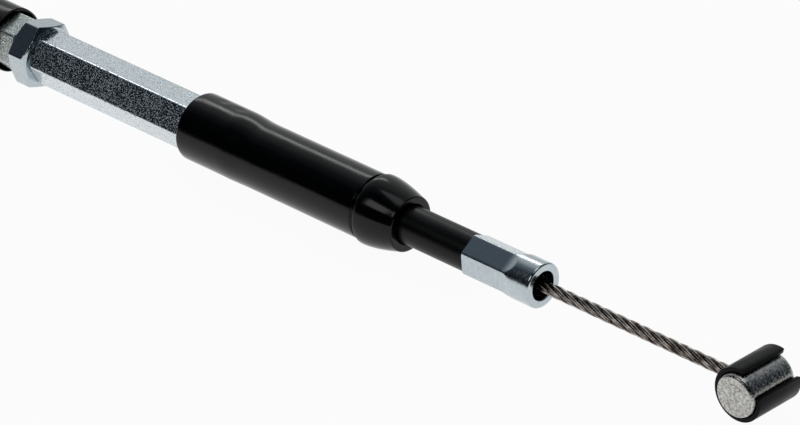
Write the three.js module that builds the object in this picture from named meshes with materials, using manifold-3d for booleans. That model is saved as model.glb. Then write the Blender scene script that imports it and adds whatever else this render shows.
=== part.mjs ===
// Motorcycle clutch cable: lever end with its in-line adjuster, coiled housing and release end.
// Millimetres, +Z up. The cable's axis runs along X, towards the lever's barrel nipple at +X.
// The origin is on the floor, under the middle of the lever end.
import * as THREE from "three";
import Module from "manifold-3d";
import { mergeVertices } from "three/addons/utils/BufferGeometryUtils.js";

// Fits and facets
const slideGap = 0.2; // radial room between pieces that slide or turn on each other
const seatGap = 0.1; // room between flat faces that seat on each other
const castGap = 0.3; // room between a casting or crimp and what it grips
const roundSides = 24;
const boreSides = 20;
const hexFaceShare = 0.97; // a hexagon's chamfered face against its flats
const hexClear = 0.1;

// Inner wire, a rope of seven strands
const wireRadius = 1.25;
const wireLay = 18.6;
const strandCount = 6;
const ringsInLay = 9;
const wireCoreRadius = 1.1;
const leverTravel = 38; // strands shown beyond what hangs out, for the wire's travel
const releaseTravel = 42;
const wireOverlap = 3; // the lever end's wire runs this far into the rear housing's cap

// Lever end: barrel nipple and its clip-on bush
const wireShown = 51.5; // ferrule face to the nipple's axis
const nippleRadius = 4.35;
const nippleLength = 12.1;
const nippleEdge = 0.35;
const faceRingRadius = 2.6;
const faceRingWidth = 0.3;
const faceRingDepth = 0.15;
const bushRadius = 5.38;
const bushLength = 11.4;
const bushSetBack = 1.0; // how far the nipple's near face stands out of the bush
const bushJawLow = 13.5; // degrees round the barrel, from +X towards +Z
const bushJawHigh = 75;
const bushCorner = 2.0;
const bushSlotLow = 156;
const bushSlotHigh = 224;

// Crimped ferrules
const ferruleLength = 17.2;
const ferruleRadius = 4.55;
const ferruleBore = 2.95;
const ferruleLip = 0.35;
const crimpFlats = 7.8; // across flats of the hexagonal crimp
const crimpLength = 9.9;
const crimpBend = 1.4;
const crimpRunOut = 3.6; // the slope from the flats to twice the height of the round
const crimpTurn = 35; // degrees, a flat's normal from the top towards -Y
const crimpDepth = 9; // how far the housing goes into the ferrule

// Housing: jacket over a flat-wire conduit over a liner
const jacketRadius = 3.9;
const crimpedJacketRadius = 3.1;
const conduitRadius = 2.75;
const conduitBore = 2.05;
const linerRadius = 1.85;
const linerBore = 1.55;
const housingShown = 16.8; // ferrule to the front boot

// Boots
const sleeveLength = 48;
const sleeveRadius = 6.74;
const bellLength = 8.9;
const bellRadius = 7.2;
const bellTipRadius = 5.72;
const bellCurve = 1.5;
const bellFacets = 5;
const grooveDepth = 0.35;
const grooveWidth = 0.8;
const bootEdge = 0.3;
const frontMouthRadius = 7.15;
const rearMouthRadius = 7.0;
const mouthLength = 11; // the stretch that is stretched wide by what it covers
const mouthTaper = 7;
const bootSleeveBore = 6.0;
const bootNoseLength = 5; // the stretch that grips the jacket
const rearMouthBore = 6.42;

// Adjuster
const bootOverTube = 11; // how far the tube reaches into the front boot
const tubeLength = 54.4;
const tubeFlats = 10;
const tubeTurn = 0;
const tubeThreadDepth = 38;
const capSeatDepth = 9;
const wireWebBore = 2.1;
const nutThickness = 4.9;
const nutFlats = 12.8;
const nutTurn = 46;
const threadRadius = 3.9;
const shankLength = 28;
const boltFlats = 10.7;
const boltTurn = 16;
const boltHexShown = 5.1; // from the nut to the rear boot's mouth
const boltHexLength = 11;
const skirtLength = 6;
const skirtRadius = 5.1;
const boltSeatDepth = 9;

// Housing caps
const capWall = 0.35;
const cappedJacketRadius = 3.55;
const capLength = 8.5;
const capLip = 0.6;

// Long housing: where it goes out of the photograph
const rearStraight = 60; // from the bolt's seat to where the housing may bend
const leadInRise = 1.2;
const leadInSteps = 8;
const leadInSides = 10;
const coilCentreX = -246;
const coilRingInner = 34;
const coilRingOuter = 50.2;
const coilHeight = 16.2;
const coilBevel = 3;
const coilTurnRadius = 46.2; // centre line of the outermost turn

// Release end
const releaseStraight = 84; // ring to the release ferrule's face
const releaseLift = 4.6; // height of the release end's axis
const releaseShown = 38.5; // release ferrule face to its nipple's axis
const releaseHidden = 46; // length of this end's wire inside the housing
const releaseNippleRadius = 3.5;
const releaseNippleLength = 7;

// Places along the cable's axis, from the lever ferrule's front face
const bootTip = -ferruleLength - housingShown;
const frontMouth = bootTip - bellLength - sleeveLength;
const tubeFront = frontMouth + bootOverTube;
const tubeBack = tubeFront - tubeLength;
const nutBack = tubeBack - seatGap - nutThickness;
const boltHexFront = nutBack - seatGap;
const boltHexBack = boltHexFront - boltHexLength;
const boltBack = boltHexBack - skirtLength;
const rearMouth = boltHexFront - boltHexShown;
const rearSeat = boltBack + boltSeatDepth;
const rearHousingEnd = rearSeat - rearStraight;
const leverWireEnd = rearSeat - seatGap - wireOverlap;
const axisHeight = bellRadius;
const ringReach = Math.sqrt(coilRingOuter ** 2 - (coilTurnRadius - jacketRadius) ** 2);
const ringFace = coilCentreX + ringReach + castGap; // where straight housing meets the coil's ring

const zincPlate = new THREE.MeshStandardMaterial({ color: 0xc3c9cb, roughness: 0.32, metalness: 1 });
const zincDark = new THREE.MeshStandardMaterial({ color: 0x9fa7aa, roughness: 0.38, metalness: 1 });
const ropeSteel = new THREE.MeshStandardMaterial({ color: 0x6b6662, roughness: 0.35, metalness: 1 });
const dieCastZinc = new THREE.MeshStandardMaterial({ color: 0xaeb0ae, roughness: 0.5, metalness: 1 });
const springSteel = new THREE.MeshStandardMaterial({ color: 0x8b8f92, roughness: 0.45, metalness: 1 });
const blackVinyl = new THREE.MeshStandardMaterial({ color: 0x0c0d0e, roughness: 0.25, metalness: 0 });
const blackJacket = new THREE.MeshStandardMaterial({ color: 0x0e0f10, roughness: 0.4, metalness: 0 });
const blackNylon = new THREE.MeshStandardMaterial({ color: 0x0b0c0c, roughness: 0.45, metalness: 0 });
const linerWhite = new THREE.MeshStandardMaterial({ color: 0xdedfdb, roughness: 0.5, metalness: 0 });

const wasm = await Module();
wasm.setup();

function solidOf(geometry) {
  const bare = geometry.clone();
  bare.deleteAttribute("normal");
  bare.deleteAttribute("uv");
  const merged = mergeVertices(bare);
  const vertProperties = merged.attributes.position.array;
  const triVerts = new Uint32Array(merged.index.array);
  return new wasm.Manifold(new wasm.Mesh({ numProp: 3, vertProperties, triVerts }));
}

function geometryOf(solid) {
  const mesh = solid.getMesh();
  const geometry = new THREE.BufferGeometry();
  geometry.setAttribute("position", new THREE.BufferAttribute(mesh.vertProperties, 3));
  geometry.setIndex(new THREE.BufferAttribute(mesh.triVerts, 1));
  geometry.computeVertexNormals();
  return geometry;
}

function piece(name, geometry, material) {
  const mesh = new THREE.Mesh(geometry, material);
  mesh.name = name;
  return mesh;
}

// A turned body on the X axis. The outline lists [place, radius], out along the outside.
function turned(outline, sides = roundSides) {
  const points = outline.map(([x, radius]) => new THREE.Vector2(radius, x));
  return new THREE.LatheGeometry(points, sides).rotateZ(-Math.PI / 2);
}

function sleeve(back, front, bore, radius, sides = roundSides) {
  return turned([[back, bore], [back, radius], [front, radius], [front, bore], [back, bore]], sides);
}

function rod(back, front, radius, sides = boreSides) {
  return turned([[back, 0], [back, radius], [front, radius], [front, 0]], sides);
}

// A closed hexagon bar on the X axis. turn is one flat's normal, in degrees from +Z towards -Y.
function hexBar(flats, back, front, turn) {
  const corner = flats / Math.sqrt(3);
  const outline = new THREE.Shape();
  for (let side = 0; side < 6; side += 1) {
    const angle = THREE.MathUtils.degToRad(turn + 30 + 60 * side);
    const [y, z] = [-corner * Math.sin(angle), corner * Math.cos(angle)];
    if (side === 0) outline.moveTo(-z, y);
    else outline.lineTo(-z, y);
  }
  const bar = new THREE.ExtrudeGeometry(outline, { depth: front - back, bevelEnabled: false });
  return bar.rotateY(Math.PI / 2).translate(back, 0, 0);
}

// The turned envelope that chamfers a hexagon's corners at 30 degrees at both ends.
function chamferEnvelope(flats, back, front) {
  const faceRadius = (flats / 2) * hexFaceShare;
  const corner = flats / Math.sqrt(3) + hexClear;
  const slope = (corner - faceRadius) * Math.tan(Math.PI / 6);
  return turned([
    [back, 0], [back, faceRadius], [back + slope, corner],
    [front - slope, corner], [front, faceRadius], [front, 0],
  ]);
}

function chamferedHex(flats, back, front, turn) {
  return solidOf(hexBar(flats, back, front, turn)).intersect(solidOf(chamferEnvelope(flats, back, front)));
}

// Section of the rope: six strands laid round a core strand, all of one size.
function ropeSection() {
  const strand = wireRadius / 3;
  const section = new THREE.Shape();
  const bulge = [-72, 0, 72];
  for (let lobe = 0; lobe < strandCount; lobe += 1) {
    const at = (2 * Math.PI * lobe) / strandCount;
    bulge.forEach((degrees, index) => {
      const round = at + THREE.MathUtils.degToRad(degrees);
      const x = 2 * strand * Math.cos(at) + strand * Math.cos(round);
      const y = 2 * strand * Math.sin(at) + strand * Math.sin(round);
      if (lobe === 0 && index === 0) section.moveTo(x, y);
      else section.lineTo(x, y);
    });
  }
  return section;
}

// The rope's strands turn round the axis, right-handed, once in each lay.
function twistedRope(back, front) {
  const depth = front - back;
  const steps = Math.ceil((depth / wireLay) * ringsInLay);
  const rope = new THREE.ExtrudeGeometry(ropeSection(), { depth, steps, bevelEnabled: false });
  const places = rope.attributes.position;
  const point = new THREE.Vector3();
  const axis = new THREE.Vector3(0, 0, 1);
  for (let index = 0; index < places.count; index += 1) {
    point.fromBufferAttribute(places, index);
    point.applyAxisAngle(axis, (2 * Math.PI * point.z) / wireLay);
    places.setXYZ(index, point.x, point.y, point.z);
  }
  return rope.rotateY(Math.PI / 2).translate(back, 0, 0);
}

// The rope shows its strands where it can come out of the housing, and is a plain core further in.
function innerWire(name, back, front, strandsBack) {
  const strands = solidOf(twistedRope(strandsBack, front));
  const core = solidOf(rod(back, strandsBack + wireRadius, wireCoreRadius));
  return piece(name, geometryOf(strands.add(core)), ropeSteel);
}

// A cast barrel across the wire, with a moulding ring in each face and a socket for the wire.
function barrelNipple(name, radius, length) {
  const half = length / 2;
  const ring = Math.min(faceRingRadius, radius - nippleEdge - 2 * faceRingWidth);
  const face = [
    [half - nippleEdge, radius], [half, radius - nippleEdge], [half, ring + faceRingWidth],
    [half - faceRingDepth, ring + faceRingWidth / 2], [half, ring], [half, 0],
  ];
  const near = face.map(([place, r]) => [-place, r]).reverse();
  const barrel = solidOf(turned([...near, ...face]).rotateZ(Math.PI / 2));
  const socket = solidOf(rod(-radius - 1, wireRadius, wireRadius + castGap));
  return piece(name, geometryOf(barrel.subtract(socket)), dieCastZinc);
}

// A point of the bush's section, which lies in the XZ plane.
function aroundBarrel(radius, degrees) {
  const angle = THREE.MathUtils.degToRad(degrees);
  return [radius * Math.cos(angle), radius * Math.sin(angle)];
}

// An outline in the XZ plane, made thick along Y from one place to another.
function acrossWire(outline, from, to, curveSegments = roundSides) {
  const bar = new THREE.ExtrudeGeometry(outline, { depth: to - from, bevelEnabled: false, curveSegments });
  return bar.rotateX(Math.PI / 2).translate(0, to, 0);
}

function bushRing(inner, from, to) {
  const low = THREE.MathUtils.degToRad(bushJawHigh);
  const high = THREE.MathUtils.degToRad(bushJawLow + 360);
  const wall = (bushRadius - inner) / 2;
  const ring = new THREE.Shape();
  ring.absarc(0, 0, bushRadius, low, high, false);
  ring.absarc(...aroundBarrel(inner + wall, bushJawLow), wall, high, high + Math.PI, false);
  ring.absarc(0, 0, inner, high, low, true);
  ring.absarc(...aroundBarrel(inner + wall, bushJawHigh), wall, low + Math.PI, low + 2 * Math.PI, false);
  return solidOf(acrossWire(ring, from, to, 10));
}

// What rounds a jaw's corner off: a square less a quarter circle, cut through the wall.
// way is the side of the jaw's edge that its wall lies on, inward the way along Y into the bush.
function jawCorner(degrees, way, end, inward) {
  const over = 1;
  const corner = new THREE.Shape();
  corner.moveTo(-over, -over);
  corner.lineTo(bushCorner, -over);
  corner.lineTo(bushCorner, 0);
  corner.absarc(bushCorner, bushCorner, bushCorner, -Math.PI / 2, -Math.PI, true);
  corner.lineTo(-over, bushCorner);
  const depth = bushRadius;
  const cutter = new THREE.ExtrudeGeometry(corner, { depth, bevelEnabled: false, curveSegments: 6 });
  const angle = THREE.MathUtils.degToRad(degrees);
  const out = new THREE.Vector3(Math.cos(angle), 0, Math.sin(angle));
  const round = new THREE.Vector3(-way * Math.sin(angle), 0, way * Math.cos(angle));
  const along = new THREE.Vector3(0, inward, 0);
  const through = new THREE.Vector3().crossVectors(round, along);
  const place = out.multiplyScalar(bushRadius).addScaledVector(through, -depth / 2);
  const frame = new THREE.Matrix4().makeBasis(round, along, through);
  frame.setPosition(place.x, end, place.z);
  return solidOf(cutter.applyMatrix4(frame));
}

function clipBush(name) {
  const inner = nippleRadius + slideGap;
  const near = -nippleLength / 2 + bushSetBack;
  const far = near + bushLength;
  const slot = new THREE.Shape();
  slot.moveTo(0, 0);
  slot.lineTo(...aroundBarrel(2 * bushRadius, bushSlotLow));
  slot.lineTo(...aroundBarrel(2 * bushRadius, (bushSlotLow + bushSlotHigh) / 2));
  slot.lineTo(...aroundBarrel(2 * bushRadius, bushSlotHigh));
  const wireWay = solidOf(acrossWire(slot, -wireRadius - castGap, far + 1));
  let bush = bushRing(inner, near, far).subtract(wireWay);
  for (const [end, inward] of [[near, 1], [far, -1]]) {
    bush = bush.subtract(jawCorner(bushJawLow, -1, end, inward));
    bush = bush.subtract(jawCorner(bushJawHigh, 1, end, inward));
  }
  return piece(name, geometryOf(bush), blackNylon);
}

// One flat of the crimp: a die that ends in a rounded slope up to the ferrule's round.
function crimpDie(back, turn) {
  const flat = crimpFlats / 2;
  const rise = 2 * (ferruleRadius - flat);
  const end = back + crimpLength;
  const profile = new THREE.Shape();
  profile.moveTo(back - 1, flat);
  profile.lineTo(end, flat);
  profile.quadraticCurveTo(end + crimpBend, flat, end + crimpRunOut, flat + rise);
  profile.lineTo(back - 1, flat + rise);
  const width = 2 * ferruleRadius;
  const die = new THREE.ExtrudeGeometry(profile, { depth: width, bevelEnabled: false, curveSegments: 5 });
  die.rotateX(Math.PI / 2).translate(0, ferruleRadius, 0).rotateX(THREE.MathUtils.degToRad(turn));
  return solidOf(die);
}

function crimpedFerrule(name, front) {
  const back = front - ferruleLength;
  const stop = back + crimpDepth;
  const grip = crimpedJacketRadius + castGap;
  let body = solidOf(turned([
    [back, grip], [back, ferruleRadius - ferruleLip], [back + ferruleLip, ferruleRadius],
    [front - ferruleLip, ferruleRadius], [front, ferruleRadius - ferruleLip],
    [front, ferruleBore], [stop, ferruleBore], [stop, grip], [back, grip],
  ]));
  for (let side = 0; side < 6; side += 1) body = body.subtract(crimpDie(back, crimpTurn + 60 * side));
  return piece(name, geometryOf(body), zincPlate);
}

// A boot from its mouth to its bell-shaped nose. way is +1 or -1, along X.
function boot(name, mouth, way, mouthRadius, mouthBore) {
  const tip = sleeveLength + bellLength;
  const groove = sleeveLength - grooveWidth;
  const outside = [
    [0, mouthRadius - bootEdge], [bootEdge, mouthRadius], [mouthLength, mouthRadius],
    [mouthLength + mouthTaper, sleeveRadius], [groove - bootEdge, sleeveRadius],
    [groove, sleeveRadius - grooveDepth], [sleeveLength, sleeveRadius - grooveDepth],
  ];
  for (let step = 0; step <= bellFacets; step += 1) {
    const part = step / bellFacets;
    const radius = bellRadius - (bellRadius - bellTipRadius) * part ** bellCurve;
    outside.push([sleeveLength + bootEdge + part * (bellLength - 2 * bootEdge), radius]);
  }
  const nose = jacketRadius + slideGap;
  const inside = [
    [tip, bellTipRadius - bootEdge], [tip, nose], [tip - bootNoseLength, nose],
    [sleeveLength - grooveWidth, bootSleeveBore], [mouthLength + mouthTaper, bootSleeveBore],
    [mouthLength, mouthBore], [0, mouthBore], [0, mouthRadius - bootEdge],
  ];
  const outline = [...outside, ...inside].map(([place, radius]) => [mouth + way * place, radius]);
  if (way < 0) outline.reverse();
  return piece(name, turned(outline), blackVinyl);
}

function adjusterTube() {
  const stem = chamferedHex(tubeFlats, tubeBack, tubeFront, tubeTurn);
  const thread = solidOf(rod(tubeBack - 1, tubeBack + tubeThreadDepth, threadRadius + slideGap, roundSides));
  const web = solidOf(rod(tubeBack, tubeFront, wireWebBore));
  const seat = solidOf(rod(tubeFront - capSeatDepth, tubeFront + 1, capRadius() + slideGap, roundSides));
  return piece("adjuster_tube", geometryOf(stem.subtract(thread).subtract(web).subtract(seat)), zincPlate);
}

function lockNut() {
  const blank = chamferedHex(nutFlats, nutBack, nutBack + nutThickness, nutTurn);
  const hole = solidOf(rod(nutBack - 1, nutBack + nutThickness + 1, threadRadius + slideGap, roundSides));
  return piece("lock_nut", geometryOf(blank.subtract(hole)), zincPlate);
}

function adjusterBolt() {
  const head = chamferedHex(boltFlats, boltHexBack, boltHexFront, boltTurn);
  const shankFront = boltHexFront + shankLength;
  const overlap = 1;
  const shank = solidOf(turned([
    [boltHexFront - overlap, 0], [boltHexFront - overlap, threadRadius],
    [shankFront - overlap, threadRadius], [shankFront, threadRadius - overlap], [shankFront, 0],
  ]));
  const skirt = solidOf(rod(boltBack, boltHexBack + overlap, skirtRadius, roundSides));
  const seat = solidOf(rod(boltBack - 1, rearSeat, capRadius() + slideGap, roundSides));
  const wireWay = solidOf(rod(boltBack, shankFront + 1, wireWebBore));
  const body = head.add(shank).add(skirt).subtract(seat).subtract(wireWay);
  return piece("adjuster_bolt", geometryOf(body), zincDark);
}

function capRadius() {
  return cappedJacketRadius + slideGap + capWall;
}

// A drawn cup over a housing's end. seat is its closed end's face, way points out of the housing.
function housingCap(name, seat, way) {
  const outline = [
    [0, wireWebBore], [0, capRadius()], [-capLength, capRadius()], [-capLength, capRadius() - capWall],
    [-capLip, capRadius() - capWall], [-capLip, wireWebBore], [0, wireWebBore],
  ].map(([place, radius]) => [seat + way * place, radius]);
  if (way > 0) outline.reverse();
  return piece(name, turned(outline), springSteel);
}

// The jacket, thinner where a crimp or a cap grips its ends.
function jacket(name, back, front, backGrip, frontGrip) {
  const bore = conduitRadius + slideGap / 2;
  return piece(name, turned([
    [back, bore], [back, backGrip.radius], [back + backGrip.length, backGrip.radius],
    [back + backGrip.length, jacketRadius], [front - frontGrip.length, jacketRadius],
    [front - frontGrip.length, frontGrip.radius], [front, frontGrip.radius], [front, bore], [back, bore],
  ]), blackJacket);
}

function conduitAndLiner(prefix, back, front) {
  return [
    piece(`${prefix}_conduit`, sleeve(back, front, conduitBore, conduitRadius, boreSides), springSteel),
    piece(`${prefix}_liner`, sleeve(back, front, linerBore, linerRadius, boreSides), linerWhite),
  ];
}

const crimped = { radius: crimpedJacketRadius, length: crimpDepth + castGap };
const capped = { radius: cappedJacketRadius, length: capLength - capLip };
const uncut = { radius: jacketRadius - castGap, length: castGap };

function frontHousing() {
  const back = tubeFront - capSeatDepth + seatGap + capLip + seatGap;
  const front = -ferruleLength + crimpDepth - seatGap;
  return [
    housingCap("front_cap", back - seatGap - capLip, -1),
    jacket("front_jacket", back, front, capped, crimped),
    ...conduitAndLiner("front", back, front),
  ];
}

function rearHousing() {
  const front = rearSeat - seatGap - capLip - seatGap;
  return [
    housingCap("rear_cap", front + seatGap + capLip, 1),
    jacket("rear_jacket", rearHousingEnd, front, uncut, capped),
    ...conduitAndLiner("rear", rearHousingEnd, front),
  ];
}

function leverEnd() {
  const end = new THREE.Group();
  const nipple = barrelNipple("lever_nipple", nippleRadius, nippleLength);
  const bush = clipBush("lever_bush");
  const wire = innerWire("lever_wire", leverWireEnd, wireShown - wireRadius / 2, -leverTravel);
  nipple.position.x = wireShown;
  bush.position.x = wireShown;
  end.add(nipple, bush, wire, crimpedFerrule("lever_ferrule", 0), ...frontHousing());
  end.add(boot("front_boot", frontMouth, 1, frontMouthRadius, bootSleeveBore));
  end.add(adjusterTube(), lockNut(), adjusterBolt(), ...rearHousing());
  end.add(boot("rear_boot", rearMouth, -1, rearMouthRadius, rearMouthBore));
  end.position.z = axisHeight;
  return end;
}

// The housing's first free stretch, which climbs towards the coil.
function leadIn() {
  const start = rearHousingEnd - castGap;
  const length = start - ringFace;
  const route = new THREE.CatmullRomCurve3([
    new THREE.Vector3(start, 0, 0),
    new THREE.Vector3(start - length / 3, 0, leadInRise / 9),
    new THREE.Vector3(start - (2 * length) / 3, 0, (4 * leadInRise) / 9),
    new THREE.Vector3(ringFace, 0, leadInRise),
  ]);
  const section = new THREE.Shape();
  for (let side = 0; side < leadInSides; side += 1) {
    const angle = (2 * Math.PI * side) / leadInSides;
    if (side === 0) section.moveTo(jacketRadius, 0);
    else section.lineTo(jacketRadius * Math.cos(angle), jacketRadius * Math.sin(angle));
  }
  const tube = new THREE.ExtrudeGeometry(section, { steps: leadInSteps, extrudePath: route });
  return piece("housing_lead_in", tube.translate(0, 0, axisHeight), blackJacket);
}

// The outer shape of the turns that the housing is put away in.
function coilRing() {
  const outline = [
    [0, coilRingInner + coilBevel], [0, coilRingOuter - coilBevel], [coilBevel, coilRingOuter],
    [coilHeight - coilBevel, coilRingOuter], [coilHeight, coilRingOuter - coilBevel],
    [coilHeight, coilRingInner + coilBevel], [coilHeight - coilBevel, coilRingInner],
    [coilBevel, coilRingInner], [0, coilRingInner + coilBevel],
  ];
  const ring = turned(outline, 2 * roundSides).rotateY(-Math.PI / 2);
  return piece("housing_coil", ring.translate(coilCentreX, -coilTurnRadius, 0), blackJacket);
}

function releaseEnd() {
  const end = new THREE.Group();
  const front = -ferruleLength + crimpDepth - seatGap;
  const back = -releaseStraight;
  const nipple = barrelNipple("release_nipple", releaseNippleRadius, releaseNippleLength);
  nipple.position.x = releaseShown;
  end.add(nipple, innerWire("release_wire", -releaseHidden, releaseShown - wireRadius / 2, -releaseTravel));
  end.add(crimpedFerrule("release_ferrule", 0), jacket("release_jacket", back, front, uncut, crimped));
  end.add(...conduitAndLiner("release", back, front));
  end.position.set(ringFace + releaseStraight, -2 * coilTurnRadius, releaseLift);
  return end;
}

const cable = new THREE.Group();
const lever = leverEnd();
lever.updateMatrixWorld(true);
const leverBox = new THREE.Box3().setFromObject(lever);
cable.add(lever, leadIn(), coilRing(), releaseEnd());
for (const part of cable.children) part.position.x -= (leverBox.min.x + leverBox.max.x) / 2;

export default cable;
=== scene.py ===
import logging
from dataclasses import dataclass, field
from enum import Enum
from math import atan2, cos, exp, hypot, pi, radians, sin, sqrt
from typing import Any, Callable, Sequence

import bmesh
import bpy
from mathutils import Matrix, Vector


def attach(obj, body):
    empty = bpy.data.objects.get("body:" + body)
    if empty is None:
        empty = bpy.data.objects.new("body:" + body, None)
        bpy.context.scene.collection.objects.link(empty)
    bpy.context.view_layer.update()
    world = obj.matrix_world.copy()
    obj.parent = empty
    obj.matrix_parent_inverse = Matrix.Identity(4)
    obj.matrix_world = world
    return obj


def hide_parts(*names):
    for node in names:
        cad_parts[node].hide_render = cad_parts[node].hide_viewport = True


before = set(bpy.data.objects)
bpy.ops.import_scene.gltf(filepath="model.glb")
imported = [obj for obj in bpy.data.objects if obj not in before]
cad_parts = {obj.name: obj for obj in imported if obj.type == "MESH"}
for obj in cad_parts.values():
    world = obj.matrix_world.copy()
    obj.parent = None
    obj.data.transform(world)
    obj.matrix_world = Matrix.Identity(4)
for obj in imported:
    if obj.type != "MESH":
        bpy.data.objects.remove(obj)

LOG = logging.getLogger("clutch_cable")

MM = 0.001  # sizes below are in millimetres, and Blender's are in metres
SAME_PLACE = 1e-4  # points that are closer than this, in millimetres, are one
FERRULE_FACE_X = 75.26  # the lever ferrule's front face, from which places on the axis count
AXIS_Z = 7.2
RELEASE_FACE = (-59.406, -92.4, 4.6)  # the release ferrule's front face

Point = tuple[float, float]
Place = tuple[float, float, float]
COLOURS = {"data_type": "RGBA"}  # a Mix node's setting, with the colours in places 6 and 7


class Way(Enum):
    """The way a boot's nose points along the cable's axis."""

    TO_LEVER = 1
    TO_RELEASE = -1


class Slot(Enum):
    """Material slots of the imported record."""

    ZINC = "zinc_plate"
    ZINC_DULL = "zinc_plate_dull"
    ROPE = "rope_steel"
    CAST = "die_cast_zinc"
    SPRING = "spring_steel"
    VINYL = "black_vinyl"
    JACKET = "black_jacket"
    NYLON = "black_nylon"
    LINER = "liner_plastic"


def linear(colour: str) -> tuple[float, float, float, float]:
    """Turn an sRGB colour to linear light.

    Args:
        colour: Six hexadecimal digits.

    Returns:
        Red, green, blue and an alpha of 1.
    """
    shares = [int(colour[at : at + 2], 16) / 255 for at in (0, 2, 4)]
    red, green, blue = (
        share / 12.92 if share <= 0.04045 else ((share + 0.055) / 1.055) ** 2.4 for share in shares
    )
    return red, green, blue, 1.0


def smooth_min(first: float, second: float, blend: float) -> float:
    """Give the smaller of two values, rounded off where they meet.

    Args:
        first: One value.
        second: The other value.
        blend: Width of the round between them.

    Returns:
        The blended minimum.
    """
    share = min(max(0.5 + 0.5 * (second - first) / blend, 0.0), 1.0)
    return second + (first - second) * share - blend * share * (1 - share)


def fade(value: float, low: float, high: float) -> float:
    """Rise smoothly from 0 at low to 1 at high."""
    share = min(max((value - low) / (high - low), 0.0), 1.0)
    return share * share * (3 - 2 * share)


def rounded(corners: Sequence[tuple[float, float, float]], steps: int = 5) -> list[Point]:
    """Round the corners of an open outline.

    Args:
        corners: Place, radius and the length that the round takes of each neighbouring side.
        steps: Points on each round, less one.

    Returns:
        The outline's points.
    """
    points: list[Point] = []
    for index, (place, radius, size) in enumerate(corners):
        here = Vector((place, radius))
        if size == 0 or index in (0, len(corners) - 1):
            points.append((place, radius))
            continue
        sides = [Vector(corners[index + way][:2]) - here for way in (-1, 1)]
        start, end = (here + side.normalized() * min(size, side.length / 2) for side in sides)
        for step in range(steps + 1):
            share = step / steps
            spot = start.lerp(here, share).lerp(here.lerp(end, share), share)
            points.append((spot.x, spot.y))
    return points


def ramp(start: Point, end: Point, steps: int) -> list[Point]:
    """Divide a straight stretch of an outline.

    Args:
        start: Its first point.
        end: Its last point, which is left out.
        steps: Number of points.

    Returns:
        The points.
    """
    (x, radius), (to_x, to_radius) = start, end
    return [
        (x + (to_x - x) * step / steps, radius + (to_radius - radius) * step / steps)
        for step in range(steps)
    ]


class Shape:
    """A mesh that is being made, in millimetres, round the X axis."""

    def __init__(self) -> None:
        """Start with an empty mesh."""
        self.bm = bmesh.new()

    def lathe(self, outline: Sequence[Point], sides: int, closed: bool = True) -> "Shape":
        """Spin an outline round the X axis.

        Args:
            outline: Places along the axis and radii.
            sides: Steps of the full turn.
            closed: Whether the outline's end joins its start, as on a tube.

        Returns:
            This shape.
        """
        verts = [self.bm.verts.new((x, 0.0, radius)) for x, radius in outline]
        pairs = list(zip(verts, verts[1:]))
        if closed:
            pairs.append((verts[-1], verts[0]))
        edges = [self.bm.edges.new(pair) for pair in pairs]
        bmesh.ops.spin(
            self.bm, geom=verts + edges, cent=(0, 0, 0), axis=(1, 0, 0), dvec=(0, 0, 0),
            angle=2 * pi, steps=sides, use_merge=True, use_duplicate=False,
        )
        return self.weld()

    def weld(self) -> "Shape":
        """Merge doubles and turn every face outwards.

        Returns:
            This shape.
        """
        bmesh.ops.remove_doubles(self.bm, verts=self.bm.verts[:], dist=SAME_PLACE)
        bmesh.ops.recalc_face_normals(self.bm, faces=self.bm.faces[:])
        return self

    def reshape(self, radius_at: Callable[[float, float, float], float], inner: float) -> "Shape":
        """Move the outer points towards or from the axis.

        Args:
            radius_at: New radius for a place, an angle from the top towards -Y, and a radius.
            inner: Points within this radius stay where they are.

        Returns:
            This shape.
        """
        for vert in self.bm.verts:
            radius = hypot(vert.co.y, vert.co.z)
            if radius > inner:
                share = radius_at(vert.co.x, atan2(-vert.co.y, vert.co.z), radius) / radius
                vert.co.y *= share
                vert.co.z *= share
        return self

    def turned(self, degrees: float, axis: str = "X") -> "Shape":
        """Turn the shape about an axis through its origin.

        Args:
            degrees: Angle of the turn.
            axis: The axis's letter.

        Returns:
            This shape.
        """
        bmesh.ops.rotate(
            self.bm, cent=(0, 0, 0), matrix=Matrix.Rotation(radians(degrees), 3, axis),
            verts=self.bm.verts[:],
        )
        return self

    def finished(self, name: str, place: Place, sharp: float = 35.0) -> bpy.types.Object:
        """Make the shape an object whose place is in its mesh.

        Args:
            name: The object's name.
            place: Where the shape's origin goes, in millimetres.
            sharp: Edges that turn by more degrees than this stay sharp.

        Returns:
            The object, linked to the scene.
        """
        bmesh.ops.translate(self.bm, vec=place, verts=self.bm.verts[:])
        bmesh.ops.scale(self.bm, vec=(MM, MM, MM), verts=self.bm.verts[:])
        mesh = bpy.data.meshes.new(name)
        self.bm.to_mesh(mesh)
        self.bm.free()
        mesh.shade_smooth()
        mesh.set_sharp_from_angle(angle=radians(sharp))
        made = bpy.data.objects.new(name, mesh)
        bpy.context.scene.collection.objects.link(made)
        return made


def on_axis(place: float) -> Place:
    """Give the point of the lever end's axis at a place counted from the ferrule's face."""
    return FERRULE_FACE_X + place, 0.0, AXIS_Z


def hexagon(angle: float, half_flats: float, edge: float) -> float:
    """Give a hexagon's radius at an angle, with its corners rounded.

    Args:
        angle: Angle from the middle of a flat, in radians.
        half_flats: Half the size across flats.
        edge: Width of the round on a corner.

    Returns:
        The radius.
    """
    off = abs((angle + pi / 6) % (pi / 3) - pi / 6)
    return smooth_min(half_flats / cos(off), half_flats / cos(pi / 3 - off), edge)


def report(made: bpy.types.Object, body: str, slot: Slot, *nodes: str) -> bpy.types.Object:
    """Hang a new piece on its body, in place of its solids, and log it.

    Args:
        made: The new piece.
        body: The body it rides on.
        slot: The record's slot it is finished from; not used.
        nodes: The solids it stands for.

    Returns:
        The piece.
    """
    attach(made, body)
    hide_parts(*nodes)
    LOG.info("%s: %d faces, rides on %s", made.name, len(getattr(made.data, "polygons", ())), body)
    return made


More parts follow.
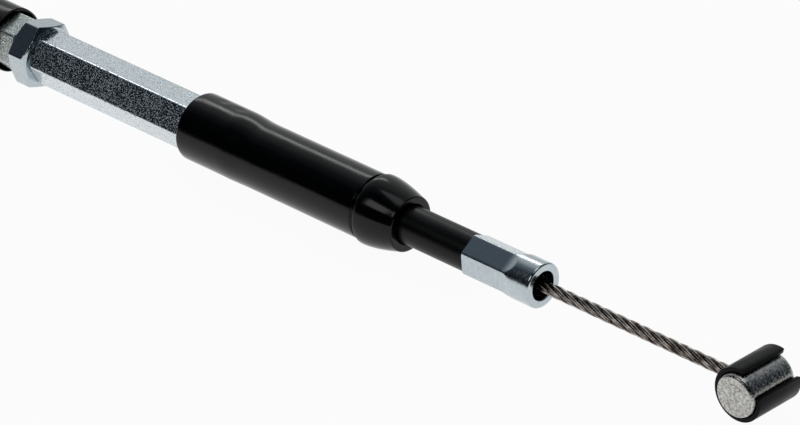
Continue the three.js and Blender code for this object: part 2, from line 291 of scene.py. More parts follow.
def grain_scale(size: float, stretch: Place = (1.0, 1.0, 1.0)) -> Place:
    """Give the scale of a pattern whose grains have a real size.

    Args:
        size: Size of a grain in millimetres.
        stretch: How much finer the grain is along X, Y and Z.

    Returns:
        The scale along X, Y and Z.
    """
    along_x, along_y, along_z = (share / (size * MM) for share in stretch)
    return along_x, along_y, along_z


class Graph:
    """The nodes of one material, or of the room."""

    def __init__(self, owner: bpy.types.Material | bpy.types.World) -> None:
        """Start with no nodes.

        Args:
            owner: The material or the world whose nodes these are.
        """
        owner.use_nodes = True
        self.tree = owner.node_tree
        self.tree.nodes.clear()

    def add(self, kind: str, settings: dict[str, Any] | None = None,
            **inputs: Any) -> bpy.types.Node:
        """Add a node with its settings, values and links.

        Args:
            kind: The node's type without its ShaderNode prefix.
            settings: Attributes of the node.
            inputs: A value or a socket for each input, under its name with underscores for
                spaces, or under an underscore and its place where two inputs share a name.

        Returns:
            The node.
        """
        node = self.tree.nodes.new("ShaderNode" + kind)
        for name, value in (settings or {}).items():
            setattr(node, name, value)
        for name, value in inputs.items():
            key = int(name[1:]) if name[1:].isdigit() else name.replace("_", " ")
            if isinstance(value, bpy.types.NodeSocket):
                self.tree.links.new(value, node.inputs[key])
            else:
                node.inputs[key].default_value = value
        return node


@dataclass(frozen=True)
class ZincPlate:
    """Bright zinc plate on steel: pale, a little blue, and spangled under a lamp."""

    name: str
    pale: str
    dark: str
    spangle: float  # size of a crystal, drawn coarser than real so that it shows
    relief: float
    bright: float  # roughness of a bright crystal
    matt: float
    cover: float = 0.5  # noise level above which a crystal is matt
    blur: float = 0.1  # how softly one crystal turns into the next
    scratch: float = 0.002
    scratch_size: float = 0.2
    scratch_stretch: Place = (1.0, 0.08, 0.08)
    pit: str = "4b5156"
    pit_size: float = 0.3
    pit_levels: Point = (0.74, 0.78)

    def material(self) -> bpy.types.Material:
        """Build crystals with a few dark pits, over faint scratches.

        Returns:
            The material.
        """
        made = bpy.data.materials.new(self.name)
        graph = Graph(made)
        spot = graph.add("TexCoord").outputs["Object"]
        sized = graph.add("Mapping", Vector=spot, Scale=grain_scale(self.spangle)).outputs[0]
        crystals = graph.add("TexNoise", Vector=sized, Scale=1.0, Detail=3.0).outputs["Fac"]
        spread = graph.add("MapRange", Value=crystals, From_Min=self.cover - self.blur,
                           From_Max=self.cover + self.blur).outputs["Result"]
        sized = graph.add("Mapping", Vector=spot, Scale=grain_scale(self.pit_size)).outputs[0]
        specks = graph.add("TexNoise", Vector=sized, Scale=1.0, Detail=2.0).outputs["Fac"]
        low, high = self.pit_levels
        pits = graph.add("MapRange", Value=specks, From_Min=low, From_Max=high).outputs["Result"]
        plate = graph.add("Mix", COLOURS, _0=spread, _6=linear(self.pale), _7=linear(self.dark))
        colour = graph.add("Mix", COLOURS, _0=pits, _6=plate.outputs[2], _7=linear(self.pit))
        gloss = graph.add("MapRange", Value=spread, To_Min=self.bright, To_Max=self.matt)
        size = grain_scale(self.scratch_size, self.scratch_stretch)
        sized = graph.add("Mapping", Vector=spot, Scale=size).outputs[0]
        lines = graph.add("TexNoise", Vector=sized, Scale=1.0, Detail=1.0).outputs["Fac"]
        worn = graph.add("Bump", Height=lines, Distance=self.scratch * MM, Strength=1.0)
        normal = graph.add("Bump", Height=spread, Distance=self.relief * MM, Strength=1.0,
                           Normal=worn.outputs["Normal"])
        shader = graph.add("BsdfPrincipled", Base_Color=colour.outputs[2], Metallic=1.0,
                           Roughness=gloss.outputs["Result"], Normal=normal.outputs["Normal"])
        graph.add("OutputMaterial", Surface=shader.outputs[0])
        return made


@dataclass(frozen=True)
class OiledRope:
    """Oiled bright steel wire: dark brown-grey with hard glints on each crown."""

    name: str = "oiled_steel_rope"
    crown: str = "a7a09a"
    oil: str = "4b423c"
    stain: float = 1.6
    stain_levels: Point = (0.3, 0.6)
    gloss: Point = (0.26, 0.18)  # roughness under the oil and on a crown

    def material(self) -> bpy.types.Material:
        """Build oil stains over bright wire.

        Returns:
            The material.
        """
        made = bpy.data.materials.new(self.name)
        graph = Graph(made)
        spot = graph.add("TexCoord").outputs["Object"]
        sized = graph.add("Mapping", Vector=spot, Scale=grain_scale(self.stain)).outputs[0]
        film = graph.add("TexNoise", Vector=sized, Scale=1.0, Detail=3.0).outputs["Fac"]
        low, high = self.stain_levels
        stain = graph.add("MapRange", Value=film, From_Min=low, From_Max=high).outputs["Result"]
        colour = graph.add("Mix", COLOURS, _0=stain, _6=linear(self.oil), _7=linear(self.crown))
        oiled, bare = self.gloss
        gloss = graph.add("MapRange", Value=stain, To_Min=oiled, To_Max=bare)
        shader = graph.add("BsdfPrincipled", Base_Color=colour.outputs[2], Metallic=1.0,
                           Roughness=gloss.outputs["Result"])
        graph.add("OutputMaterial", Surface=shader.outputs[0])
        return made


@dataclass(frozen=True)
class DieCastZinc:
    """Bare die-cast zinc: a grey cast skin, with ridges round the barrel's side."""

    name: str = "die_cast_zinc"
    pale: str = "d0d1cd"
    dark: str = "8a8781"
    skin: float = 0.42  # size of the skin's grains, drawn coarser than real so that they show
    skin_levels: Point = (0.35, 0.65)
    skin_depth: float = 0.009
    gloss: Point = (0.2, 0.42)
    ridge: float = 0.26  # spacing of the ridges
    ridge_stretch: Place = (0.02, 1.0, 0.02)
    ridge_depth: float = 0.035
    strength: float = 0.9  # share of each relief that shows

    def material(self) -> bpy.types.Material:
        """Build the cast skin over the ridges.

        Returns:
            The material.
        """
        made = bpy.data.materials.new(self.name)
        graph = Graph(made)
        spot = graph.add("TexCoord").outputs["Object"]
        sized = graph.add("Mapping", Vector=spot, Scale=grain_scale(self.skin)).outputs[0]
        skin = graph.add("TexNoise", Vector=sized, Scale=1.0, Detail=3.0).outputs["Fac"]
        size = grain_scale(self.ridge, self.ridge_stretch)
        sized = graph.add("Mapping", Vector=spot, Scale=size).outputs[0]
        ridges = graph.add("TexNoise", Vector=sized, Scale=1.0, Detail=1.0).outputs["Fac"]
        low, high = self.skin_levels
        spread = graph.add("MapRange", Value=skin, From_Min=low, From_Max=high)
        colour = graph.add("Mix", COLOURS, _0=spread.outputs["Result"], _6=linear(self.dark),
                           _7=linear(self.pale))
        bright, matt = self.gloss
        gloss = graph.add("MapRange", Value=skin, From_Min=low, From_Max=high, To_Min=bright,
                          To_Max=matt)
        grooves = graph.add("Bump", Height=ridges, Distance=self.ridge_depth * MM,
                            Strength=self.strength)
        normal = graph.add("Bump", Height=skin, Distance=self.skin_depth * MM,
                           Strength=self.strength, Normal=grooves.outputs["Normal"])
        shader = graph.add("BsdfPrincipled", Base_Color=colour.outputs[2], Metallic=1.0,
                           Roughness=gloss.outputs["Result"], Normal=normal.outputs["Normal"])
        graph.add("OutputMaterial", Surface=shader.outputs[0])
        return made


@dataclass(frozen=True)
class Polymer:
    """A black moulded, dipped or extruded polymer, told apart by its gloss and flow marks."""

    name: str
    colour: str
    dust: str
    roughness: float
    level: float  # how much of the usual reflection the soft skin gives
    wave: float  # size of the skin's waves in millimetres
    relief: float
    stretch: Place = (1.0, 1.0, 1.0)
    wave_levels: Point = (0.3, 0.7)
    gloss_spread: Point = (-0.04, 0.05)  # how far the waves change the roughness
    speck: float = 0.45  # size of a dust speck, drawn coarser than real so that it shows
    speck_levels: Point = (0.68, 0.8)
    bending: float = 1.5  # index of refraction of a common polymer

    def material(self) -> bpy.types.Material:
        """Build slow waves and a few specks of dust on the skin.

        Returns:
            The material.
        """
        made = bpy.data.materials.new(self.name)
        graph = Graph(made)
        spot = graph.add("TexCoord").outputs["Object"]
        size = grain_scale(self.wave, self.stretch)
        sized = graph.add("Mapping", Vector=spot, Scale=size).outputs[0]
        waves = graph.add("TexNoise", Vector=sized, Scale=1.0, Detail=2.0).outputs["Fac"]
        sized = graph.add("Mapping", Vector=spot, Scale=grain_scale(self.speck)).outputs[0]
        specks = graph.add("TexNoise", Vector=sized, Scale=1.0, Detail=1.0).outputs["Fac"]
        low, high = self.speck_levels
        dust = graph.add("MapRange", Value=specks, From_Min=low, From_Max=high)
        colour = graph.add("Mix", COLOURS, _0=dust.outputs["Result"], _6=linear(self.colour),
                           _7=linear(self.dust))
        low, high = self.wave_levels
        less, more = self.gloss_spread
        gloss = graph.add("MapRange", Value=waves, From_Min=low, From_Max=high,
                          To_Min=self.roughness + less, To_Max=self.roughness + more)
        normal = graph.add("Bump", Height=waves, Distance=self.relief * MM, Strength=1.0)
        shader = graph.add("BsdfPrincipled", Base_Color=colour.outputs[2],
                           Roughness=gloss.outputs["Result"], Normal=normal.outputs["Normal"],
                           Specular_IOR_Level=self.level, IOR=self.bending)
        graph.add("OutputMaterial", Surface=shader.outputs[0])
        return made


@dataclass(frozen=True)
class LinedStock:
    """Drawn or extruded stock: fine lines along it, one darker and glossier than the next."""

    name: str
    dark: str
    pale: str
    line: float  # spacing of the lines, drawn coarser than real so that they show
    stretch: Place
    gloss: Point
    metallic: float
    levels: Point = (0.35, 0.65)

    def material(self) -> bpy.types.Material:
        """Build the lines.

        Returns:
            The material.
        """
        made = bpy.data.materials.new(self.name)
        graph = Graph(made)
        spot = graph.add("TexCoord").outputs["Object"]
        size = grain_scale(self.line, self.stretch)
        sized = graph.add("Mapping", Vector=spot, Scale=size).outputs[0]
        grain = graph.add("TexNoise", Vector=sized, Scale=1.0, Detail=2.0).outputs["Fac"]
        low, high = self.levels
        lines = graph.add("MapRange", Value=grain, From_Min=low, From_Max=high).outputs["Result"]
        colour = graph.add("Mix", COLOURS, _0=lines, _6=linear(self.dark), _7=linear(self.pale))
        bright, matt = self.gloss
        gloss = graph.add("MapRange", Value=lines, To_Min=bright, To_Max=matt)
        shader = graph.add("BsdfPrincipled", Base_Color=colour.outputs[2],
                           Metallic=self.metallic, Roughness=gloss.outputs["Result"])
        graph.add("OutputMaterial", Surface=shader.outputs[0])
        return made


class Finishes:
    """Every finish of the cable, by the record's slot."""

    def __init__(self) -> None:
        """Build each material once."""
        self.by_slot = {
            # barrel-plated bar: coarse bright crystals beside matt ones
            Slot.ZINC: ZincPlate(
                "zinc_plate_on_drawn_bar", pale="d3dbde", dark="a9b2bf", spangle=0.28, relief=0.02,
                bright=0.1, matt=0.54, cover=0.59, blur=0.05).material(),
            # the same plate without its last brightening: greyer, and softer in its gloss
            Slot.ZINC_DULL: ZincPlate(
                "dull_zinc_plate_on_steel", pale="c6ccc9", dark="9aa2a1", spangle=0.3, relief=0.01,
                bright=0.2, matt=0.5).material(),
            # oiled rope: brown in its grooves, with a hard glint on each wire
            Slot.ROPE: OiledRope().material(),
            # cast zinc: a soft grey skin that sparkles a little
            Slot.CAST: DieCastZinc().material(),
            # drawn spring steel: mid grey, with a streaked sheen
            Slot.SPRING: LinedStock(
                "drawn_spring_steel", dark="6d7174", pale="a4a9ac", line=0.25,
                stretch=(0.05, 1.0, 1.0), gloss=(0.35, 0.5), metallic=1.0).material(),
            # dipped vinyl: a deep gloss with slow waves in it
            Slot.VINYL: Polymer(
                "dipped_black_vinyl", colour="020303", dust="1d1e20", roughness=0.15, level=0.24,
                wave=7.0, relief=0.03).material(),
            # extruded jacket: satin, with faint lines along it
            Slot.JACKET: Polymer(
                "extruded_black_jacket", colour="030404", dust="242628", roughness=0.33, level=0.2,
                wave=1.4, relief=0.012, stretch=(0.15, 1.0, 1.0)).material(),
            # moulded nylon: an even satin skin with little reflection
            Slot.NYLON: Polymer(
                "moulded_black_nylon", colour="020303", dust="0f1111", roughness=0.36, level=0.09,
                wave=1.8, relief=0.01).material(),
            # extruded acetal: milky white with a soft sheen
            Slot.LINER: LinedStock(
                "acetal_liner", dark="cfd1cc", pale="e4e5e1", line=0.4, stretch=(0.1, 1.0, 1.0),
                gloss=(0.4, 0.52), metallic=0.0).material(),
        }
        # plate that a die or a tool has burnished: smooth, with a few pits
        self.burnished = ZincPlate(
            "zinc_plate_burnished", pale="bfc8cc", dark="b2bbc0", spangle=0.6, relief=0.004,
            bright=0.14, matt=0.24, cover=0.5, blur=0.2, scratch=0.006).material()

    def dress(self, made: bpy.types.Object, slot: Slot, pressed: bool = False) -> bpy.types.Object:
        """Give a piece or a carried-over solid its finish.

        Args:
            made: The object.
            slot: The record's slot.
            pressed: Whether a die or a tool has burnished its plate.

        Returns:
            The object.
        """
        made.data.materials.clear()
        made.data.materials.append(self.burnished if pressed else self.by_slot[slot])
        return made


@dataclass(frozen=True)
class WireRun:
    """One end of the inner wire, in places along the axis from its ferrule's face."""

    back: float  # where the plain core ends, inside the housing
    strands_back: float
    front: float  # where the strands go into the nipple
    nipple: float  # the nipple's middle


LEVER_RUN = WireRun(-150.5, -38.0, 50.8, 51.5)
RELEASE_RUN = WireRun(-46.0, -42.0, 37.8, 38.5)


@dataclass
class Rope:
    """Inner wire: six strands round a core strand, each of six wires round one."""

    radius: float = 1.25
    lay: float = 18.6
    wire_lay: float = 60.0  # the wires turn the same way in their strand
    room: float = 0.93  # share of its place that a strand fills
    points: int = 24
    ring_gap: float = 0.6
    core_radius: float = 1.1
    core_sides: int = 32
    heart_radius: float = 0.42  # the core strand, which hardly shows
    heart_sides: int = 12
    strands: int = 6  # round the core strand
    wires: int = 6  # round a strand's middle wire
    lobe: float = 0.012  # how far each outer wire swells its strand

    def strand_section(self, shape: Shape) -> list[bmesh.types.BMEdge]:
        """Make one strand's section beside the axis, lobed by its wires.

        Args:
            shape: The empty shape that it is made in.

        Returns:
            The section's edges.
        """
        radius = self.radius / 3
        made = bmesh.ops.create_circle(
            shape.bm, cap_ends=False, radius=radius, segments=self.points)
        for vert in made["verts"]:
            angle = atan2(vert.co.y, vert.co.x)
            vert.co *= self.room * (1 - self.lobe + self.lobe * cos(self.wires * angle))
            vert.co = Vector((0.0, vert.co.x, vert.co.y + 2 * radius))
        return list(dict.fromkeys(edge for vert in made["verts"] for edge in vert.link_edges))

    def strand(self, back: float, front: float) -> Shape:
        """Draw the strand's section along its helix.

        Args:
            back: Where the strand starts along the axis.
            front: Where it ends.

        Returns:
            The strand.
        """
        shape = Shape()
        edges = self.strand_section(shape)
        steps = round((front - back) / self.ring_gap)
        step = (front - back) / steps
        bmesh.ops.translate(shape.bm, vec=(back, 0, 0), verts=shape.bm.verts[:])
        helix = Matrix.Rotation(2 * pi * step / self.lay, 3, "X")
        twist = Matrix.Rotation(2 * pi * step / self.wire_lay, 3, "X")
        centre = Vector((back, 0.0, 2 * self.radius / 3))
        for _ in range(steps):
            made = bmesh.ops.extrude_edge_only(shape.bm, edges=edges)["geom"]
            verts = [item for item in made if isinstance(item, bmesh.types.BMVert)]
            edges = [item for item in made if isinstance(item, bmesh.types.BMEdge)
                     and all(vert in verts for vert in item.verts)]
            bmesh.ops.rotate(shape.bm, cent=centre, matrix=twist, verts=verts)
            bmesh.ops.rotate(shape.bm, cent=(0, 0, 0), matrix=helix, verts=verts)
            bmesh.ops.translate(shape.bm, vec=(step, 0, 0), verts=verts)
            centre = helix @ centre + Vector((step, 0, 0))
        bmesh.ops.holes_fill(shape.bm, edges=shape.bm.edges[:], sides=self.points)
        return shape

    def build(self, name: str, run: WireRun, place: Place) -> bpy.types.Object:
        """Make the wire: strands where it can come out, a plain core further in.

        Args:
            name: The piece's name.
            run: Where its core and its strands end.
            place: The ferrule's face, which the run counts from.

        Returns:
            The piece.
        """
        start, front = run.strands_back, run.front
        shape = self.strand(start, front)
        first = shape.bm.verts[:] + shape.bm.edges[:] + shape.bm.faces[:]
        for strand in range(1, self.strands):
            copy = bmesh.ops.duplicate(shape.bm, geom=first)["geom"]
            verts = [item for item in copy if isinstance(item, bmesh.types.BMVert)]
            turn = Matrix.Rotation(2 * pi * strand / self.strands, 3, "X")
            bmesh.ops.rotate(shape.bm, cent=(0, 0, 0), matrix=turn, verts=verts)
        inner = self.heart_radius
        heart = Shape().lathe(
            [(start, 0), (start, inner), (front, inner), (front, 0)], self.heart_sides, False)
        outer, end = self.core_radius, start + self.radius
        core = Shape().lathe(
            [(run.back, 0), (run.back, outer), (end, outer), (end, 0)], self.core_sides, False)
        for other in (heart, core):
            mesh = bpy.data.meshes.new("rope_core")
            other.bm.to_mesh(mesh)
            other.bm.free()
            shape.bm.from_mesh(mesh)
            bpy.data.meshes.remove(mesh)
        bmesh.ops.recalc_face_normals(shape.bm, faces=shape.bm.faces[:])
        return shape.finished(name, place, sharp=60)


@dataclass
class BarrelNipple:
    """Nipple cast on the wire's end, a barrel across the wire."""

    radius: float = 4.35
    length: float = 12.1
    edge: float = 1.2
    ring: float = 2.3
    ring_width: float = 0.35
    ring_depth: float = 0.1
    ring_round: float = 0.1
    ring_foot: float = 0.12
    sides: int = 96

    def build(self, name: str, place: Place) -> bpy.types.Object:
        """Spin the barrel and lay it across the wire.

        Args:
            name: The piece's name.
            place: The barrel's middle.

        Returns:
            The piece.
        """
        half = self.length / 2
        middle = self.ring + self.ring_width / 2
        end = rounded([
            (0, self.radius, 0), (half, self.radius, self.edge),
            (half, middle + self.ring_width, self.ring_round),
            (half - self.ring_depth, middle, self.ring_foot),
            (half, self.ring, self.ring_round), (half, 0, 0),
        ])
        start = [(-x, radius) for x, radius in reversed(end)][:-1]
        shape = Shape().lathe(start + end, self.sides, False).turned(-90, "Z")
        return shape.finished(name, place, sharp=50)


@dataclass
class ClipBush:
    """Nylon bush clipped round the nipple: a barrel open on one side, slotted for the wire."""

    inner: float = 4.55
    outer: float = 5.38
    near: float = -5.05
    length: float = 11.4
    jaw_low: float = 13.5
    jaw_high: float = 75.0
    corner: float = 2.0
    edge: float = 0.25
    slot_half: float = 34.0
    slot_middle: float = 190.0
    slot_near: float = -1.55
    slot_past: float = 4.0  # how far the slot's cutter is longer than the bush
    steps: int = 100
    corner_steps: int = 8
    edge_steps: int = 3
    rounded_turn: float = 1.0  # radians: an edge that turns by more is rounded
    sharp: float = 50.0

    def wall(self) -> Shape:
        """Spin the wall's section round the barrel from one jaw to the other.

        Returns:
            The wall.
        """
        shape = Shape()
        far = self.near + self.length
        section = [
            (self.inner, self.near), (self.outer, self.near), (self.outer, far), (self.inner, far)]
        verts = [shape.bm.verts.new((radius, y, 0.0)) for radius, y in section]
        face = shape.bm.faces.new(verts)
        bmesh.ops.rotate(shape.bm, cent=(0, 0, 0), verts=verts,
                         matrix=Matrix.Rotation(radians(-self.jaw_high), 3, "Y"))
        span = 360 - (self.jaw_high - self.jaw_low)
        bmesh.ops.spin(shape.bm, geom=[face], cent=(0, 0, 0), axis=(0, -1, 0), dvec=(0, 0, 0),
                       angle=radians(span), steps=self.steps, use_merge=False, use_duplicate=False)
        return shape.weld()

    def round_jaws(self, shape: Shape) -> None:
        """Round the corners of both jaws, then every long edge of the wall.

        Args:
            shape: The wall.
        """
        half_wall = (self.outer - self.inner) / 2
        jaws = []
        for edge in self.turning_edges(shape):
            first, second = (vert.co for vert in edge.verts)
            across = abs(hypot(first.x, first.z) - hypot(second.x, second.z))
            if abs(first.y - second.y) < SAME_PLACE and across > half_wall:
                jaws.append(edge)
        corners = []
        for edge in jaws:
            tilts = [abs(face.normal.y) for face in edge.link_faces]
            if min(tilts) < 0.5 < max(tilts):
                corners.append(edge)
        bmesh.ops.bevel(
            shape.bm, geom=corners, offset=self.corner, affect="EDGES",
            segments=self.corner_steps, profile=0.5, material=-1, clamp_overlap=False)
        bmesh.ops.bevel(
            shape.bm, geom=self.turning_edges(shape), offset=self.edge, affect="EDGES",
            segments=self.edge_steps, profile=0.5, material=-1, clamp_overlap=True)

    def turning_edges(self, shape: Shape) -> list[bmesh.types.BMEdge]:
        """List the edges where two faces meet at a sharp turn.

        Args:
            shape: The wall.

        Returns:
            The edges.
        """
        return [
            edge for edge in shape.bm.edges
            if len(edge.link_faces) == 2 and edge.calc_face_angle(0) > self.rounded_turn
        ]

    def slot_cutter(self) -> bpy.types.Object:
        """Make the wedge that clears the wire's way through the wall.

        Returns:
            The wedge, which is removed once it has cut the bush.
        """
        shape = Shape()
        low, high = (radians(self.slot_middle + way * self.slot_half) for way in (-1, 1))
        reach = 2 * self.outer
        outline = [(0.0, 0.0)]
        outline += [
            (reach * cos(angle), reach * sin(angle)) for angle in (low, (low + high) / 2, high)]
        verts = [shape.bm.verts.new((x, self.slot_near, z)) for x, z in outline]
        face = shape.bm.faces.new(verts)
        made = bmesh.ops.extrude_face_region(shape.bm, geom=[face])["geom"]
        moved = [item for item in made if isinstance(item, bmesh.types.BMVert)]
        bmesh.ops.translate(shape.bm, vec=(0, self.length + self.slot_past, 0),
                            verts=moved)
        return shape.weld().finished("wire_way", (0, 0, 0))

    def build(self, name: str, place: Place) -> bpy.types.Object:
        """Make the bush and cut its slot.

        Args:
            name: The piece's name.
            place: The barrel's middle.

        Returns:
            The piece.
        """
        shape = self.wall()
        self.round_jaws(shape)
        bush = shape.finished(name, (0, 0, 0), sharp=self.sharp)
        cutter = self.slot_cutter()
        cut = bush.modifiers.new("wire_way", "BOOLEAN")
        cut.object, cut.solver, cut.operation = cutter, "EXACT", "DIFFERENCE"
        graph = bpy.context.evaluated_depsgraph_get()
        made = bpy.data.meshes.new_from_object(bush.evaluated_get(graph))
        bush.modifiers.clear()
        bush.data = made
        bpy.data.objects.remove(cutter)
        made.transform(Matrix.Translation([size * MM for size in place]))
        made.shade_smooth()
        made.set_sharp_from_angle(angle=radians(self.sharp))
        return bush


@dataclass
class CrimpedFerrule:
    """Zinc-plated ferrule, crimped to a hexagon over the housing and left round at its nose."""

    length: float = 17.2
    radius: float = 4.55
    bore: float = 2.95
    lip: float = 0.45
    flats: float = 7.8
    crimp: float = 9.9
    run_out: float = 3.6
    turn: float = 35.0
    grip: float = 3.4
    depth: float = 9.0
    mark: tuple[float, float, float, float] = (-12.2, -7.4, -0.5, 1.7)  # the die's mark on one flat
    mark_depth: float = 0.05
    mark_blur: Point = (0.12, 0.1)  # how softly the mark ends, along and across
    edge: float = 0.34
    blend: float = 0.12
    run_out_power: float = 1.7
    back_round: float = 0.3
    bore_round: float = 0.25
    press_steps: int = 110
    sides: int = 192

    def flat_height(self, place: float) -> float:
        """Give the flats' distance from the axis.

        Args:
            place: Place along the ferrule, from its front face.

        Returns:
            The distance, which grows past the radius where the flats run out.
        """
        end = -self.length + self.crimp
        share = min(max((place - end) / self.run_out, 0.0), 1.0)
        return self.flats / 2 + 2 * (self.radius - self.flats / 2) * share**self.run_out_power

    def skin(self, place: float, angle: float, radius: float) -> float:
        """Give the crimped skin's radius at a place and angle.

        Args:
            place: Place along the ferrule.
            angle: Angle from the top towards -Y.
            radius: Radius before the crimp.

        Returns:
            The radius.
        """
        flat = self.flat_height(place)
        skin = smooth_min(radius, hexagon(angle, flat, self.edge), self.blend)
        low, high, left, right = self.mark
        along, wide = self.mark_blur
        across = flat * sin((angle + pi / 6) % (pi / 3) - pi / 6)
        on_flat = pi / 6 < angle < pi / 2
        inside = fade(place, low - along, low + along)
        inside *= 1 - fade(place, high - along, high + along)
        inside *= fade(across, left - wide, left + wide)
        inside *= 1 - fade(across, right - wide, right + wide)
        return skin - (self.mark_depth * inside if on_flat else 0.0)

    def build(self, name: str, place: Place) -> bpy.types.Object:
        """Spin the ferrule and press its flats.

        Args:
            name: The piece's name.
            place: The middle of its front face.

        Returns:
            The piece.
        """
        back, stop = -self.length, -self.length + self.depth
        outside = rounded([
            (back, self.grip, 0), (back, self.radius, self.back_round), (0, self.radius, self.lip),
            (0, self.bore, self.bore_round), (stop, self.bore, 0),
        ])
        split = next(index for index, (x, _) in enumerate(outside) if x > back + 1)
        body = ramp(outside[split - 1], outside[split], self.press_steps)
        outline = outside[: split - 1] + body + outside[split:] + [(stop, self.grip)]
        shape = Shape().lathe(outline, self.sides).reshape(self.skin, self.grip + 0.05)
        return shape.turned(self.turn).finished(name, place, sharp=40)


@dataclass
class Boot:
    """Dipped vinyl boot: a sleeve stretched over the adjuster, a groove and a bell-shaped nose."""

    way: Way
    mouth: float
    mouth_radius: float
    mouth_bore: float
    flats_turn: float
    sag: float = 0.05
    drop: float = 0.32  # how much thinner the stretched mouth is on its lower side
    sleeve: float = 48.0
    sleeve_radius: float = 6.74
    bell: float = 8.9
    bell_radius: float = 7.2
    tip_radius: float = 5.72
    groove: float = 0.35
    groove_width: float = 0.8
    stretched: float = 11.0
    taper: float = 7.0
    bore: float = 6.0
    nose_bore: float = 4.1
    nose: float = 5.0
    # place, angle, depth, length and width of each dent
    dents: tuple[tuple[float, float, float, float, float], ...] = ()
    lip: float = 3.0  # how far the rim's outline reaches
    lip_round: float = 0.45
    lower_side: float = -38.0  # angle of the line across the mouth's thin side, in degrees
    bell_power: float = 1.5
    mouth_steps: int = 20
    taper_steps: int = 10
    sleeve_steps: int = 60
    bell_steps: int = 20
    sides: int = 128

    def outside(self) -> list[Point]:
        """List the outside from the mouth's rim to the nose's tip.

        Returns:
            The outline.
        """
        wide, even, bell = self.mouth_radius, self.sleeve_radius, self.bell_radius
        rim = rounded([
            (0, self.mouth_bore, 0), (0, wide, self.lip_round), (self.lip - 1, wide, 0),
            (self.lip, wide, 0),
        ])
        stretch = ramp((self.lip, wide), (self.stretched, wide), self.mouth_steps)
        down = [
            (self.stretched + self.taper * step / self.taper_steps,
             wide + (even - wide) * fade(step / self.taper_steps, 0, 1))
            for step in range(self.taper_steps)
        ]
        start = self.sleeve - self.groove_width
        low = even - self.groove
        straight = ramp((self.stretched + self.taper, even), (start - 1, even), self.sleeve_steps)
        channel = rounded([
            (start - 1, even, 0), (start - 0.1, even, 0.12), (start + 0.15, low, 0.2),
            (self.sleeve + 0.05, low, 0.2), (self.sleeve + 0.2, bell, 0.3),
            (self.sleeve + 1, bell, 0),
        ])
        curve = []
        for step in range(1, self.bell_steps + 1):
            share = step / self.bell_steps
            curve.append((self.sleeve + 1 + (self.bell - 1.5) * share,
                          bell - (bell - self.tip_radius) * share**self.bell_power))
        tip = self.sleeve + self.bell
        end = rounded([
            curve[-1] + (0,), (tip, self.tip_radius - 0.1, self.lip_round),
            (tip, self.nose_bore, 0.2), (tip - self.nose, self.nose_bore, 0),
        ])
        return rim[:-1] + stretch + down + straight + channel + curve[:-1] + end

    def skin(self, place: float, angle: float, radius: float) -> float:
        """Let the stretched mouth follow the flats under it, and add its dents.

        Args:
            place: Place along the boot, from its mouth.
            angle: Angle from the top towards -Y.
            radius: Radius before the change.

        Returns:
            The radius.
        """
        stretch = 1 - fade(place, self.stretched - 1, self.stretched + self.taper)
        over_flat = 0.5 + 0.5 * cos(6 * (angle - radians(self.flats_turn)))
        lower = 0.5 - 0.5 * cos(angle - radians(self.lower_side))
        skin = radius - stretch * (self.sag * over_flat + self.drop * lower * lower)
        for at, round_at, depth, length, width in self.dents:
            along = (place - at) / length
            across = ((angle - radians(round_at) + pi) % (2 * pi) - pi) * radius / width
            reach = along * along + across * across
            skin -= depth * exp(-reach)
        return skin

    def build(self, name: str) -> bpy.types.Object:
        """Spin the boot, shape its mouth and point it along the cable.

        Args:
            name: The piece's name.

        Returns:
            The piece.
        """
        outline = self.outside() + [
            (self.sleeve - self.groove_width, self.bore), (self.stretched + self.taper, self.bore),
            (self.stretched, self.mouth_bore),
        ]
        shape = Shape().lathe(outline, self.sides).reshape(self.skin, self.mouth_bore + 0.2)
        if self.way is Way.TO_RELEASE:
            bmesh.ops.scale(shape.bm, vec=(-1, 1, 1), verts=shape.bm.verts[:])
            bmesh.ops.recalc_face_normals(shape.bm, faces=shape.bm.faces[:])
        return shape.finished(name, on_axis(self.mouth), sharp=50)


@dataclass
class Hexagon:
    """A chamfered hexagon on the adjuster's axis."""

    flats: float
    back: float
    front: float
    turn: float
    edge: float = 0.28
    face_share: float = 0.97
    blend: float = 0.08
    chamfer_steps: int = 12
    side_steps: int = 4

    def corner(self) -> float:
        """Give the radius that clears the corners."""
        return self.flats / sqrt(3) + 0.1

    def outside(self) -> list[Point]:
        """List the turned outline, finely divided where its chamfers cut the corners.

        Returns:
            The outline, from back to front.
        """
        low, high = self.flats / 2 * self.face_share, self.corner()
        slope = (high - low) / sqrt(3)
        corners = [
            (self.back, low), (self.back + slope, high), (self.front - slope, high),
            (self.front, low),
        ]
        steps = (self.chamfer_steps, self.side_steps, self.chamfer_steps)
        points: list[Point] = []
        for start, end, count in zip(corners, corners[1:], steps):
            points += ramp(start, end, count)
        return points + corners[-1:]

    def skin(self, place: float, angle: float, radius: float) -> float:
        """Cut the turned outline down to the flats.

        Args:
            place: Place along the axis.
            angle: Angle from the top towards -Y.
            radius: Radius before the cut.

        Returns:
            The radius.
        """
        if not self.back - 1e-3 <= place <= self.front + 1e-3:
            return radius
        return smooth_min(radius, hexagon(angle, self.flats / 2, self.edge), self.blend)


